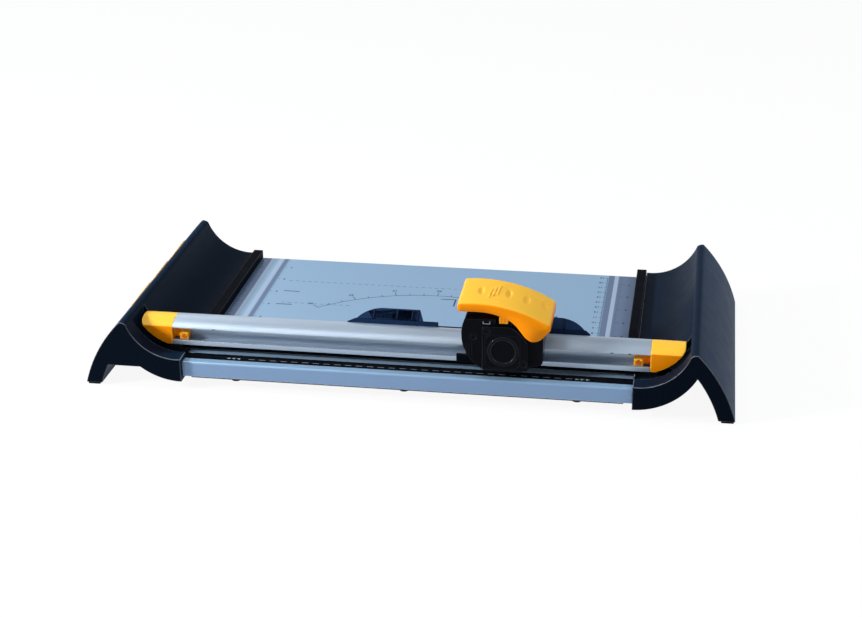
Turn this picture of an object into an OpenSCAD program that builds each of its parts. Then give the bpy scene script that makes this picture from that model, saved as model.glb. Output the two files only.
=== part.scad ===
// Rotary paper trimmer for A4 sheets.
// A pressed steel bed hangs between two Y-shaped end cheeks. A sprung rail carries the cutting head.
// Frame: +X right, +Y back, +Z up, origin on the table under the middle. Millimetres.

/* [Bed] */
// Width of the bed between the end cheeks
bed_w = 315; // [305:1:340]
// Depth of the trimmer from front to back
depth = 215; // [210:1:240]
// Height of the bed's top face above the table
bed_z = 20; // [19.5:0.5:24]
// Thickness of the steel sheet
sheet_t = 1.2; // [0.8:0.1:1.5]
// Setback of the bed's front lip behind the cheeks' front faces
lip_setback = 4; // [2:0.5:6]
// Width of the lip's top band in front of the cutting strip
lip_band = 7; // [6:0.5:9]
// Height of the lip's bottom edge above the table
lip_bottom = 9; // [8.5:0.5:10]
// Outer radius of the lip's bend
lip_r = 2; // [1.8:0.1:3]
// Width of the inward flange along the lip's bottom edge
flange_w = 9; // [8:0.5:11]
// Setback of the bed's rear edge in front of the cheeks' rear faces
rear_setback = 3.3; // [2:0.1:6]
// Width of the cutting strip
strip_w = 9.5; // [8:0.5:11]
// Thickness of the cutting strip
strip_t = 2; // [1.5:0.1:2.5]
// Width of the paper fences
fence_w = 7.3; // [6.5:0.1:9]
// Height of the paper fences above the bed
fence_h = 6.8; // [5.5:0.1:9]

/* [Cheeks] */
// Width of one end cheek
cheek_w = 70; // [68:1:76]
// Radius of the hollow on the cheek's inner side
hollow_r = 37.3; // [36.5:0.1:38]
// Height of the hollow's lowest line above the bed
hollow_rise = 2.9; // [2.6:0.1:3.2]
// Radius of the cheek's outer side
outer_r = 105.9; // [102:0.5:110]
// Depth of the outer side's centre below the table
outer_drop = 25.7; // [24:0.5:27]
// Radius of the inner limb's underside
limb_r = 49.1; // [48:0.1:50]
// Height of the inner limb's lowest line above the table
limb_z = 6.1; // [5.5:0.1:6.8]
// Thickness of the outer leg
leg_t = 11; // [10:0.5:12]
// Height at which the ridge starts to round over
ridge_z = 42.3; // [41.5:0.1:43]
// Wall of the moulded cheek
wall = 2.6; // [2.2:0.1:3.2]
// Length of one rubber foot
foot_l = 20; // [16:1:26]
// Thickness of a rubber foot
pad_t = 1.6; // [1:0.1:2.4]
// Height of the closed floor between the left cheek's limb and leg
store_z = 15.8; // [13:0.1:18]
// Number of cross ribs inside each cheek
ribs = 3; // [2:1:5]

/* [Rail] */
// How far each end of the rail reaches over its cheek
rail_over = 10.7; // [10:0.1:11.5]
// Width of the rail from front to back
rail_w = 20.5; // [20:0.1:22]
// Height of the rail
rail_h = 17.5; // [17:0.1:18.5]
// Radius of the rail's crowned top
crown_r = 19.6; // [18.8:0.2:21]
// Distance from the rail's front to the crown's highest line
crown_in = 12.5; // [12:0.1:12.9]
// Distance from the cutting line to the rail's front face
rail_gap = 4.3; // [4:0.1:5]
// Clear height under the raised clamp strip
clamp_gap = 2.2; // [1.6:0.1:2.6]
// Height that the clamp strip stands below the rail
clamp_t = 3.6; // [3:0.1:4]
// Height of the rail's lower front lip
rail_lip_h = 3.5; // [3:0.1:4]
// Height of the channel's mouth
channel_h = 8.9; // [8.4:0.1:9]
// Depth of the channel
channel_d = 9; // [8.5:0.1:9.5]
// Wall of the rail
rail_t = 1.8; // [1.5:0.1:2]
// Length of one end cap
cap_l = 23.5; // [22:0.5:24]
// Gap between the end cap's underside and the cheek's hollow
cap_gap = 1.1; // [0.8:0.1:1.6]
// Depth of the pocket below the cheek's hollow
pocket_d = 4; // [3.6:0.1:4.6]
// Length of the end cap's tongue inside the channel
tongue_l = 11.3; // [10:0.1:11.6]
// Length of the nub at the tongue's end
nub_l = 6.2; // [5:0.1:7]
// Height of the nub
nub_h = 4.8; // [4.4:0.1:6]
// How far the nub stands in front of the tongue
nub_out = 4.5; // [3:0.1:5]

/* [Finger guard] */
// Thickness of the guard
guard_t = 1.6; // [1.2:0.1:2]
// Length of a wing up its slope
wing_l = 11; // [10:0.5:12.5]
// Slope of a wing
wing_tilt = 33; // [28:1:36]
// Radius of a wing's outer end
wing_r = 23; // [20:0.5:26]

/* [Cutting head] */
// Place of the head along the rail
head_x = 69; // [0:1:75]
// Radius of the head's round left side
head_r = 29; // [28:0.1:30]
// Height of the head's round centre above the rail's underside
head_h = 26.2; // [25.8:0.1:26.6]
// Distance from the blade's axis to the head's right side
head_right = 27; // [26:0.1:28]
// Height of the head's top above the rail's underside
head_top = 37.7; // [37:0.1:38]
// Distance from the cutting line to the head's front face
head_front = 8.8; // [8.5:0.1:9.2]
// Thickness of the front cover
cover_t = 2.4; // [2:0.1:2.6]
// Outer radius of the raised ring on the cover
ring_r = 10.4; // [9.5:0.1:11.6]
// Radius of the rotary blade
blade_r = 16; // [15:0.1:16.4]
// Thickness of the blade
blade_t = 0.6; // [0.4:0.05:0.8]
// Height of the blade's axis above the rail's underside
axis_h = 15.7; // [15.5:0.1:16.2]
// Radius of the blade's axle
axle_r = 2.5; // [2.2:0.1:2.8]
// Half of the length of the key that runs in the rail's channel
key_half = 6; // [5:0.5:6.5]

/* [Handle] */
// Height of the handle's top above the rail's underside
handle_h = 50.6; // [50.2:0.1:52]
// Distance from the blade's axis to the handle's left end
handle_left = 31.5; // [31:0.1:34]
// Distance from the blade's axis to the handle's right end
handle_right = 32; // [31:0.1:34]
// Width of the handle from front to back
handle_w = 41; // [40.5:0.1:42]
// Radius of the handle's long top curve
handle_r = 98; // [96:0.5:104]
// Slope of the handle's top up towards the back
handle_tilt = 3.5; // [2:0.5:5]
// Wall of the handle
handle_t = 2.2; // [1.8:0.1:2.5]
// Depth of the handle's left skirt below its top
skirt_h = 6.7; // [5.5:0.1:7.2]
// Distance from the blade's axis to the handle's pivot
pivot_dx = 22.5; // [22:0.1:23]
// Height of the pivot above the rail's underside
pivot_h = 30.8; // [30.4:0.1:31.2]
// Radius of the lobes around the pivot
lobe_r = 7.2; // [6.4:0.1:7.6]
// Radius of the pivot pin
pin_r = 2; // [1.6:0.1:2.4]

/* [Springs and fasteners] */
// Wire of the rail springs
rail_wire = 0.9; // [0.6:0.05:1.1]
// Turns of a rail spring
rail_turns = 8; // [5:1:9]
// Wire of the handle spring
lever_wire = 0.7; // [0.5:0.05:0.9]
// Turns of the handle spring
lever_turns = 6; // [4:1:7]
// Radius of the guide posts in the cheeks
post_r = 1.9; // [1.6:0.1:2.1]
// Shank radius of the screws
screw_r = 1.4; // [1.2:0.1:1.6]
// Radius of the tie rods
rod_r = 3.5; // [3:0.1:4]

/* [Spare cartridges] */
// Radius of a spare cartridge
spare_r = 17; // [15:0.5:17.5]
// Height of the cartridges' centres above the table
spare_z = 27; // [25.5:0.5:28]
// Depth of a cartridge's seat in the left cheek
spare_sink = 5; // [4:0.1:6]
// Distance between cartridges
spare_pitch = 46; // [42:1:50]
// Distance of the middle cartridge behind the trimmer's middle
spare_mid = 29; // [20:1:34]
// How far a cartridge stands proud of the cheek
spare_proud = 0.8; // [0.6:0.1:1.2]

/* [Clearances] */
// Gap between fixed neighbours
fit = 0.1; // [0.05:0.01:0.15]
// Gap between moving neighbours
slide = 0.3; // [0.25:0.01:0.4]
// Radial clearance of pins in their bores
running = 0.05; // [0.03:0.01:0.08]

/* [Hidden] */
$fn = 96;
past = 1;
half = bed_w / 2;
front = -depth / 2;
back = depth / 2;

// Bed and strip lines
lip_y = front + lip_setback;
strip_y0 = lip_y + lip_band;
strip_y1 = strip_y0 + strip_w;
cut_y = strip_y0 + strip_w / 2;
bed_back = back - rear_setback;
strip_bot = bed_z - strip_t;
sheet_under = bed_z - sheet_t;
cut_groove = 1;
cut_groove_d = 0.5;
pan_top = lip_bottom;
pan_side = 6;
head_of_screw = 1.9;
head_h_of_screw = 1;
pan_screw_x = [-bed_w * 0.38, 0, bed_w * 0.38];
pan_screw_l = 3;
pan_screw_y = [lip_y + flange_w / 2, bed_back - flange_w / 2];

// Rail lines
rail_y0 = cut_y + rail_gap;
rail_y1 = rail_y0 + rail_w;
rail_z0 = bed_z + clamp_gap + clamp_t;
rail_z1 = rail_z0 + rail_h;
crown_y = rail_y0 + crown_in;
crown_z = rail_z1 - crown_r;
channel_z0 = rail_z0 + rail_lip_h;
channel_z1 = channel_z0 + channel_h;
channel_y1 = rail_y0 + channel_d;
lip_back = rail_y0 + rail_t;
undercut_z = rail_z0 + rail_t;
duct_y0 = channel_y1 + rail_t;
duct_y1 = rail_y1 - rail_t;
duct_z1 = channel_z1;
rail_x = half + rail_over;
cap_x = rail_x + cap_l;
tongue_x = rail_x - tongue_l;
paper_room = 0.2;
press_travel = clamp_gap - paper_room;
clamp_front = 3;
clamp_rear = 5;
clamp_y0 = rail_y0 + clamp_front;
clamp_y1 = rail_y1 - clamp_rear;
clamp_seat = 0.8;
clamp_end = 6;
cap_screw_x = tongue_x + nub_l / 2;
cap_screw_z = channel_z0 + fit + nub_h / 2;
tongue_setback = 1.2;
cap_screw_y0 = rail_y0 + tongue_setback;
cap_screw_out = 0.4;

// Cheek curves
hollow_in = 3;
hollow_x = half + hollow_in;
hollow_cz = bed_z + hollow_rise + hollow_r;
outer_cx = half + cheek_w - sqrt(outer_r * outer_r - outer_drop * outer_drop);
outer_cz = -outer_drop;
function hollow_at(z) = hollow_x + sqrt(hollow_r * hollow_r - pow(z - hollow_cz, 2));
function outer_at(z) = outer_cx + sqrt(outer_r * outer_r - pow(z - outer_cz, 2));
ridge_x = (hollow_at(ridge_z) + outer_at(ridge_z)) / 2;
ridge_r = (outer_at(ridge_z) - hollow_at(ridge_z)) / 2;
block_more = 8;
block_y1 = rail_y1 + block_more;
pocket_room = 1.5;
pocket_end = 4;
pocket_y0 = cut_y - pocket_room;
pocket_y1 = rail_y1 + pocket_room;
pocket_x = cap_x + pocket_end;
end_wall = 3.2;
limb_open = 36;
ledge_w = 12;
ledge_t = 3.6;
ledge_y0 = block_y1 - past;
rear_foot_in = 18;
rear_foot_y = back - rear_foot_in;
pad_in = 1;

// Rail springs and posts
post_in = 9;
post_x = rail_x + post_in;
post_y = (rail_y0 + rail_y1) / 2;
post_floor = 1.4;
post_grip = 5.1;
post_z0 = limb_z + post_floor;
boss_r = 6.4;
seat_z = post_z0 + post_grip;
spring_r = 3.6;
spring_room = 0.5;
spring_in = 7.2;
collar_seat = 2.6;
spring_bore = spring_r + rail_wire / 2 + spring_room;
spring_top = rail_z0 + spring_in;
collar_z = spring_top + collar_seat;
collar_r = 3;
collar_t = 1.2;
chamber_z1 = collar_z + slide + collar_t + press_travel + slide;

// Tie rods
rod_up = 7.5;
rod_z = limb_z + rod_up;
rod_in = 6;
rear_rod_in = 28;
rod_wall = 3;
rod_y = [post_y, back - rear_rod_in];
rod_boss = rod_r + rod_wall;

// Fences and their screws
fence_x = half - fit - fence_w;
fence_gap = 3;
fence_end = 0.5;
fence_y0 = rail_y1 + fence_gap;
fence_y1 = bed_back - fence_end;
base_screw_x = half - fit - fence_w / 2;
fence_screw_in = 14;
fence_roof = 2;
base_screw_y = [fence_y0 + fence_screw_in, (fence_y0 + fence_y1) / 2, fence_y1 - fence_screw_in];
base_screw_top = bed_z + fence_h - fence_roof;

// Finger guard
guard_up = 7;
guard_rise = 3.2;
guard_low = 0.4;
guard_z0 = rail_z0 + guard_up;
rail_back_z = crown_z + sqrt(crown_r * crown_r - pow(rail_w - crown_in, 2));
guard_z1 = rail_back_z + guard_rise;
guard_x0 = -46;
guard_x1 = 125.5;
wing_left = [-40, 9];
wing_right = [64, 122.5];
wing_skew = 4;
wing_foot = 10;
wing_ribs = [0.1, 0.18, 0.4, 0.74];
rib_w = 1;
rib_h = 0.6;
rib_end = 1.5;
guard_screw_in = 14;
guard_screw_up = 3;
guard_screw_x = [guard_x0 + guard_screw_in, (guard_x0 + guard_x1) / 2, guard_x1 - guard_screw_in];
guard_screw_z = guard_z0 + guard_screw_up;

// Head lines, with x measured from the blade's axis
head_y0 = cut_y - head_front;
head_gap = 0.5;
head_low = 0.2;
block_up = 5;
head_y1 = rail_y0 - head_gap;
head_back = rail_y1 - head_gap;
head_cz = rail_z0 + head_h;
head_z0 = rail_z0 - head_low;
head_z1 = rail_z0 + head_top;
axis_z = rail_z0 + axis_h;
pivot_z = rail_z0 + pivot_h;
block_z0 = rail_z0 + block_up;
block_r = 4;
pin_wall = 3.5;
pin_short = 0.4;
pivot_boss = pin_r + pin_wall;
cell_front = 1.5;
cell_back = 2;
cell_y1 = cut_y + cell_back;
blade_room = 1.2;
blade_gap = 0.1;
drop = axis_z - blade_r - press_travel - bed_z - blade_gap;
press = drop / pivot_dx * 180 / PI;
plate_in = 0.4;
plate_t = 2.5;
plate_y0 = head_y0 + plate_in;
plate_y1 = plate_y0 + plate_t;
plate_r = 9.5;
stem_half = 5;
stem_l = 19.5;
stem_z = axis_z + stem_l;
plunger_half = 3;
plunger_d = 6;
plunger_hook = 1.5;
plunger_up = 4.2;
groove_w = 0.8;
groove_x = 1.2;
plunger_y1 = plate_y0 + plunger_d;
plunger_z0 = stem_z - plunger_hook;
plunger_z = head_z1 + plunger_up;
hub_r = 5;
clip_t = 0.6;
clip_gap = 0.4;
clip_w = 1.6;
clip_y1 = cell_y1 - clip_gap;
clip_r = axle_r + clip_w;
bevel_w = 1.6;
hub_y0 = plate_y1 + slide;
hub_y1 = clip_y1 - clip_t - slide;
shoe_x = [-34, -16];
shoe_up = 0.4;
shoe_h = 6;
shoe_in = 1.6;
shoe_z = [rail_z0 + shoe_up, rail_z0 + shoe_up + shoe_h];
shoe_y0 = head_y1 - shoe_in;
key_in = 1.2;
cover_x = [-14.5, 17];
cover_screw_in = 3.1;
cover_screw_up = 4.3;
cover_screw_low = 8.5;
cover_screw_at = [[cover_x[0] + cover_screw_in, head_cz + cover_screw_up],
    [cover_x[1] - cover_screw_in, axis_z - cover_screw_low]];
body_screw_low = 1.5;
body_screw_at = [-20.7, head_cz - body_screw_low];
cover_screw_l = 5;
cover_flare = 0.8;
cover_foot = 3.2;
ring_up = 0.5;
ring_sink = 0.4;
ring_w = 1.8;

// Handle lines, with x measured from the blade's axis
handle_y0 = head_y0 - handle_t - slide;
handle_y1 = handle_y0 + handle_w;
handle_z1 = rail_z0 + handle_h;
crest_x = -19;
handle_cz = handle_z1 - handle_r;
skirt_z = handle_z1 - skirt_h;
sweep_x = -13;
sweep_r = 30.7;
sweep_z = skirt_z - sweep_r;
lobe_in = 1;
lobe_up = 0.6;
lobe_x = pivot_dx - lobe_in;
lobe_z = pivot_z + lobe_up;
sweep_end = sweep_x + sqrt(sweep_r * sweep_r - pow(lobe_z - sweep_z, 2));
lobe_turn = acos(lobe_r / (lobe_x - sweep_end));
corner_r = 3;
lever_x = -21;
lever_y = (head_y1 + head_back) / 2;
lever_r = 2.9;
lever_sink = 4;
lever_room = 0.4;
lever_seat = head_z1 - lever_sink;
press_rib = 1.5;
handle_rise = handle_w * tan(handle_tilt);
function roof_at(x, y, inset) = handle_cz + (y - handle_y0) * tan(handle_tilt)
    + sqrt(pow(handle_r - inset, 2) - pow(x - crest_x, 2)) / cos(handle_tilt);
lever_top = roof_at(lever_x, lever_y - lever_r - lever_wire / 2, handle_t) - fit;

// Spare cartridges on the left cheek's outer side
spare_a = asin((spare_z - outer_cz) / outer_r);
spare_y = [spare_mid - spare_pitch, spare_mid, spare_mid + spare_pitch];
spare_grip = [24, 4.5, 0.8];
grip_sink = 0.4;

module along_x(x0, x1) {
    translate([x0, 0, 0]) rotate([90, 0, 90]) linear_extrude(x1 - x0) children();
}

module along_y(y0, y1) {
    translate([0, y1, 0]) rotate([90, 0, 0]) linear_extrude(y1 - y0) children();
}

module rod_y_axis(r, y0, y1) {
    translate([0, y0, 0]) rotate([-90, 0, 0]) cylinder(r = r, h = y1 - y0);
}

module rod_x_axis(r, x0, x1) {
    translate([x0, 0, 0]) rotate([0, 90, 0]) cylinder(r = r, h = x1 - x0);
}

// Square of two opposite corners
module span(x0, x1, z0, z1) {
    translate([x0, z0]) square([x1 - x0, z1 - z0]);
}

// Box of two opposite corners
module block(x0, x1, y0, y1, z0, z1) {
    translate([x0, y0, z0]) cube([x1 - x0, y1 - y0, z1 - z0]);
}

module right_and_left() {
    children();
    mirror([1, 0, 0]) children();
}

// Points of a coil's wire: 8 rings of 6 points for each turn
function coil_mid(i, r, wire, h, turns) =
    let (a = 45 * i, z = wire / 2 + (h - wire) * i / (8 * turns)) [r * cos(a), r * sin(a), z];
function coil_ring(i, r, wire, h, turns) =
    let (a = 45 * i, c = coil_mid(i, r, wire, h, turns))
    [for (j = [0:5]) c + wire / 2 * [cos(60 * j) * cos(a), cos(60 * j) * sin(a), sin(60 * j)]];
function coil_gap(r, wire, h, turns) =
    min([for (i = [0:8 * turns - 5], k = [i + 5:8 * turns])
        norm(coil_mid(i, r, wire, h, turns) - coil_mid(k, r, wire, h, turns)) - wire]);

module coil(r, wire, h, turns) {
    n = 8 * turns;
    points = [for (i = [0:n]) each coil_ring(i, r, wire, h, turns)];
    sides = [for (i = [0:n - 1], j = [0:5])
        let (a = 6 * i + j, b = 6 * i + (j + 1) % 6)
        each [[a, b, b + 6], [a, b + 6, a + 6]]];
    first = [for (j = [1:4]) [0, j + 1, j]];
    last = [for (j = [1:4]) [6 * n, 6 * n + j, 6 * n + j + 1]];
    echo(least_gap_in_coil = coil_gap(r, wire, h, turns));
    polyhedron(points, concat(sides, first, last));
}

module countersunk(l, flare = head_of_screw) {
    cylinder(r = screw_r, h = l);
    translate([0, 0, -head_h_of_screw]) difference() {
        cylinder(r = flare + screw_r, h = head_h_of_screw);
        translate([0, 0, -past]) cylinder(r = screw_r * 0.7, h = past + 0.8, $fn = 6);
    }
}

// The bed: a folded sheet with a trough for the cutting strip
module bed_section() {
    difference() {
        union() {
            span(strip_y1, bed_back, sheet_under, bed_z);
            span(bed_back - sheet_t, bed_back, lip_bottom, bed_z);
            span(bed_back - flange_w, bed_back, lip_bottom, lip_bottom + sheet_t);
            span(lip_y, strip_y0, sheet_under, bed_z);
            span(lip_y, lip_y + sheet_t, lip_bottom, bed_z);
            span(lip_y, lip_y + flange_w, lip_bottom, lip_bottom + sheet_t);
            span(strip_y0 - sheet_t, strip_y1 + sheet_t, strip_bot - sheet_t, bed_z);
            span(lip_y, lip_y + lip_r, bed_z - lip_r, bed_z);
        }
        span(strip_y0, strip_y1, strip_bot, bed_z + past);
        translate([lip_y + lip_r, bed_z - lip_r]) difference() {
            span(-lip_r - past, 0, 0, lip_r + past);
            circle(r = lip_r);
        }
    }
}

module bed_plate() {
    color("lightsteelblue") difference() {
        along_x(-half + fit, half - fit) bed_section();
        right_and_left() for (y = base_screw_y)
            translate([base_screw_x, y, sheet_under - past])
                cylinder(r = screw_r + fit, h = sheet_t + 2 * past);
        for (x = pan_screw_x, y = pan_screw_y)
            translate([x, y, lip_bottom - past]) cylinder(r = screw_r + fit, h = sheet_t + 2 * past);
    }
}

module base_pan() {
    color("dimgray") difference() {
        block(-half + pan_side, half - pan_side, lip_y + sheet_t, bed_back - sheet_t,
            pan_top - sheet_t, pan_top);
        for (x = pan_screw_x, y = pan_screw_y)
            translate([x, y, pan_top - sheet_t - past]) cylinder(r = screw_r + fit, h = sheet_t + 2 * past);
    }
}

module pan_screws() {
    color("silver") for (x = pan_screw_x, y = pan_screw_y)
        translate([x, y, pan_top - sheet_t]) countersunk(sheet_t * 2 + pan_screw_l);
}

module cutting_strip() {
    color("black") difference() {
        block(-half + fit, half - fit, strip_y0, strip_y1, strip_bot, bed_z);
        block(-half, half, cut_y - cut_groove / 2, cut_y + cut_groove / 2, bed_z - cut_groove_d,
            bed_z + past);
    }
}

// Cheek in the x, z plane, drawn for the right-hand end
module hollow_circle(grow) {
    translate([hollow_x, hollow_cz]) circle(r = hollow_r + grow);
}

module outer_circle(grow) {
    translate([outer_cx, outer_cz]) circle(r = outer_r + grow);
}

module cheek_outline(tunnel_z) {
    intersection() {
        difference() {
            outer_circle(0);
            hollow_circle(0);
            difference() {
                intersection() {
                    outer_circle(-leg_t);
                    span(half, half + cheek_w, 0, tunnel_z);
                }
                translate([half, limb_z + limb_r]) circle(r = limb_r);
            }
        }
        union() {
            span(half, half + cheek_w + past, pad_t, ridge_z);
            translate([ridge_x, ridge_z]) circle(r = ridge_r);
        }
    }
}

// The open underside of the inner limb, short of the leg
module limb_hollow() {
    difference() {
        span(half + wall, half + limb_open, -past, ridge_z);
        hollow_circle(wall);
    }
}

module cap_pocket() {
    intersection() {
        hollow_circle(pocket_d);
        span(half - past, pocket_x, 0, rail_z1 + 2 * past);
    }
}

module cheek_shell(tunnel_z) {
    bay = (back - end_wall - block_y1 + wall) / (ribs + 1);
    difference() {
        along_y(front, back) cheek_outline(tunnel_z);
        for (i = [0:ribs]) along_y(block_y1 + bay * i, block_y1 + bay * (i + 1) - wall) limb_hollow();
    }
    block(half - ledge_w, half + wall, ledge_y0, bed_back - flange_w - fit, sheet_under - ledge_t,
        sheet_under);
    translate([post_x, post_y, post_z0]) cylinder(r = boss_r, h = seat_z - post_z0);
    translate([0, rod_y[1], rod_z]) rod_x_axis(rod_boss, half, half + rod_in + wall);
}

// Cheek with a tunnel of the given height between limb and leg
module right_side_cheek(tunnel_z) {
    difference() {
        cheek_shell(tunnel_z);
        along_y(pocket_y0, pocket_y1) cap_pocket();
        translate([post_x, post_y, seat_z]) cylinder(r = spring_bore, h = rail_z0);
        translate([post_x, post_y, 0]) cylinder(r = post_r, h = rail_z0);
        for (y = rod_y) translate([0, y, rod_z])
            rod_x_axis(rod_r + fit, half - ledge_w - past, half + rod_in);
        for (y = base_screw_y)
            translate([base_screw_x, y, 0]) cylinder(r = screw_r + fit, h = bed_z);
    }
}

module at_spare(i) {
    translate([-outer_cx - outer_r * cos(spare_a), spare_y[i], outer_cz + outer_r * sin(spare_a)])
        rotate([0, spare_a - 90, 0]) children();
}

module left_cheek() {
    color("#22252c") difference() {
        mirror([1, 0, 0]) right_side_cheek(store_z);
        for (i = [0:2]) at_spare(i) translate([0, 0, -spare_sink])
            cylinder(r = spare_r + slide, h = 3 * spare_sink);
    }
}

module right_cheek() {
    color("#22252c") right_side_cheek(ridge_z);
}

module fence() {
    difference() {
        block(fence_x, fence_x + fence_w, fence_y0, fence_y1, bed_z, bed_z + fence_h);
        for (y = base_screw_y)
            translate([base_screw_x, y, bed_z - past])
                cylinder(r = screw_r, h = base_screw_top - bed_z + past);
    }
}

module left_fence() {
    color("#1b1d22") mirror([1, 0, 0]) fence();
}

module right_fence() {
    color("#1b1d22") fence();
}

module base_screws() {
    screw_z = sheet_under - ledge_t;
    color("silver") right_and_left() for (y = base_screw_y)
        translate([base_screw_x, y, screw_z]) countersunk(base_screw_top - screw_z);
}

module tie_rod(i) {
    color("silver") translate([0, rod_y[i], rod_z])
        rod_x_axis(rod_r, -half - rod_in + fit, half + rod_in - fit);
}

module front_tie_rod() {
    tie_rod(0);
}

module rear_tie_rod() {
    tie_rod(1);
}

// One rubber pad under each foot of the legs
module rubber_feet() {
    pad_x0 = outer_at(pad_t) - leg_t + 1.5 * pad_in;
    pad_x1 = outer_at(pad_t) - pad_in;
    color("#111111") right_and_left() for (y = [front, rear_foot_y - foot_l])
        block(pad_x0, pad_x1, y + pad_in, y + foot_l - pad_in, 0, pad_t);
}

module guide_post() {
    translate([post_x, post_y, 0]) {
        translate([0, 0, post_z0]) cylinder(r = post_r, h = collar_z + slide - post_z0);
        translate([0, 0, collar_z + slide]) cylinder(r = collar_r, h = collar_t);
    }
}

module left_guide_post() {
    color("silver") mirror([1, 0, 0]) guide_post();
}

module right_guide_post() {
    color("silver") guide_post();
}

module rail_spring(side) {
    color("silver") translate([side * post_x, post_y, seat_z])
        coil(spring_r, rail_wire, spring_top - seat_z, rail_turns);
}

module left_rail_spring() {
    rail_spring(-1);
}

module right_rail_spring() {
    rail_spring(1);
}

// Rail in the y, z plane
module rail_outline() {
    intersection() {
        span(rail_y0, rail_y1, rail_z0, rail_z1 + past);
        translate([crown_y, crown_z]) circle(r = crown_r);
    }
}

module rail_section() {
    difference() {
        rail_outline();
        span(rail_y0 - past, channel_y1, channel_z0, channel_z1);
        span(lip_back, channel_y1, undercut_z, channel_z1);
        span(duct_y0, duct_y1, undercut_z, duct_z1);
        span(clamp_y0 - fit, clamp_y1 + fit, rail_z0 - past, rail_z0 + clamp_seat);
    }
}

module guide_rail() {
    color("gainsboro") difference() {
        along_x(-rail_x, rail_x) rail_section();
        right_and_left() translate([cap_screw_x, 0, cap_screw_z])
            rod_y_axis(screw_r + fit, rail_y0, duct_y0 + past);
        for (x = guard_screw_x)
            translate([x, 0, guard_screw_z]) rod_y_axis(screw_r, duct_y1 - past, rail_y1 + past);
    }
}

// End cap: the rail's outline, cut to the cheek's hollow, with a nubbed tongue and a spigot in the rail
module rail_cap() {
    difference() {
        union() {
            intersection() {
                along_x(rail_x, cap_x) rail_outline();
                along_y(rail_y0 - past, rail_y1 + past) hollow_circle(-cap_gap);
            }
            block(tongue_x, rail_x + past, cap_screw_y0 + nub_out, channel_y1 - fit, channel_z0 + fit,
                channel_z1 - fit);
            block(tongue_x, tongue_x + nub_l, cap_screw_y0, channel_y1 - fit, channel_z0 + fit,
                channel_z0 + fit + nub_h);
            block(tongue_x, rail_x + past, duct_y0 + fit, duct_y1 - fit, undercut_z + fit, duct_z1 - fit);
        }
        translate([cap_screw_x, 0, cap_screw_z]) rod_y_axis(screw_r, rail_y0, duct_y1 - past);
        translate([post_x, post_y, 0]) cylinder(r = spring_bore, h = spring_top);
        translate([post_x, post_y, 0]) cylinder(r = post_r + running, h = collar_z + past);
        translate([post_x, post_y, collar_z]) cylinder(r = collar_r + slide, h = chamber_z1 - collar_z);
        block(rail_x - past, post_x, post_y - collar_r - slide, post_y + collar_r + slide, collar_z,
            chamber_z1);
    }
}

module left_rail_cap() {
    color("orange") mirror([1, 0, 0]) rail_cap();
}

module right_rail_cap() {
    color("orange") rail_cap();
}

module cap_screws() {
    color("darkorange") right_and_left() translate([cap_screw_x, 0, cap_screw_z])
        rod_y_axis(screw_r, cap_screw_y0 - cap_screw_out, duct_y1 - past - fit);
}

module clamp_strip() {
    color("#181818") block(-rail_x + clamp_end, rail_x - clamp_end, clamp_y0, clamp_y1,
        rail_z0 - clamp_t, rail_z0 + clamp_seat);
}

// Wing outline in its own plane: x along the rail, y up the slope
module wing_outline(inner, outer) {
    side = outer > inner ? 1 : -1;
    turn = outer - side * sqrt(wing_r * wing_r - pow(wing_r - wing_l, 2));
    intersection() {
        span(min(inner, outer), max(inner, outer), 0, wing_l);
        union() {
            translate([turn, wing_l - wing_r]) circle(r = wing_r);
            polygon([[turn, 0], [inner, 0], [inner + side * wing_skew, wing_l], [turn, wing_l]]);
        }
    }
}

module wing(inner, outer) {
    translate([0, rail_y1, guard_z1 - guard_t]) rotate([wing_tilt, 0, 0]) {
        linear_extrude(guard_t) wing_outline(inner, outer);
        for (k = wing_ribs)
            translate([inner + (outer - inner) * k - rib_w / 2, rib_end, guard_t])
                cube([rib_w, wing_l - 2 * rib_end, rib_h]);
    }
}

// Front view of the guard's upright strip: low between the wings, sloped at its ends
module guard_face() {
    low_z = rail_back_z + guard_low;
    polygon([[guard_x0, guard_z0], [guard_x1, guard_z0], [guard_x1, low_z], [wing_right[1], guard_z1],
        [wing_right[0] - wing_foot, guard_z1], [wing_right[0] - wing_foot, low_z],
        [wing_left[1] + wing_foot, low_z], [wing_left[1] + wing_foot, guard_z1], [wing_left[0], guard_z1],
        [guard_x0, low_z]]);
}

module finger_guard() {
    color("#2b3550") difference() {
        union() {
            along_y(rail_y1, rail_y1 + guard_t) guard_face();
            wing(wing_left[1], wing_left[0]);
            wing(wing_right[0], wing_right[1]);
        }
        block(guard_x0 - past, guard_x1 + past, rail_y1 - wing_l, rail_y1, rail_z0, rail_z1 + wing_l);
        for (x = guard_screw_x)
            translate([x, 0, guard_screw_z])
                rod_y_axis(screw_r + fit, rail_y1 - past, rail_y1 + guard_t + past);
    }
}

module guard_screws() {
    color("silver") for (x = guard_screw_x)
        translate([x, rail_y1 + guard_t, guard_screw_z]) rotate([90, 0, 0]) countersunk(guard_t + rail_t);
}

// Head in the x, z plane, with x measured from the blade's axis
module head_outline() {
    intersection() {
        translate([0, head_cz]) circle(r = head_r);
        span(-head_r, head_right - block_r, head_z0, head_z1);
    }
    span(0, head_right, block_z0 + block_r, pivot_z);
    span(0, head_right - block_r, block_z0, pivot_z);
    translate([head_right - block_r, block_z0 + block_r]) circle(r = block_r);
    translate([pivot_dx, pivot_z]) circle(r = pivot_boss);
}

module blade_cell() {
    translate([0, axis_z]) circle(r = blade_r + blade_room);
    translate([0, axis_z - drop]) circle(r = blade_r + blade_room);
    span(-blade_r - blade_room, blade_r + blade_room, axis_z - drop, axis_z);
}

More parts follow.
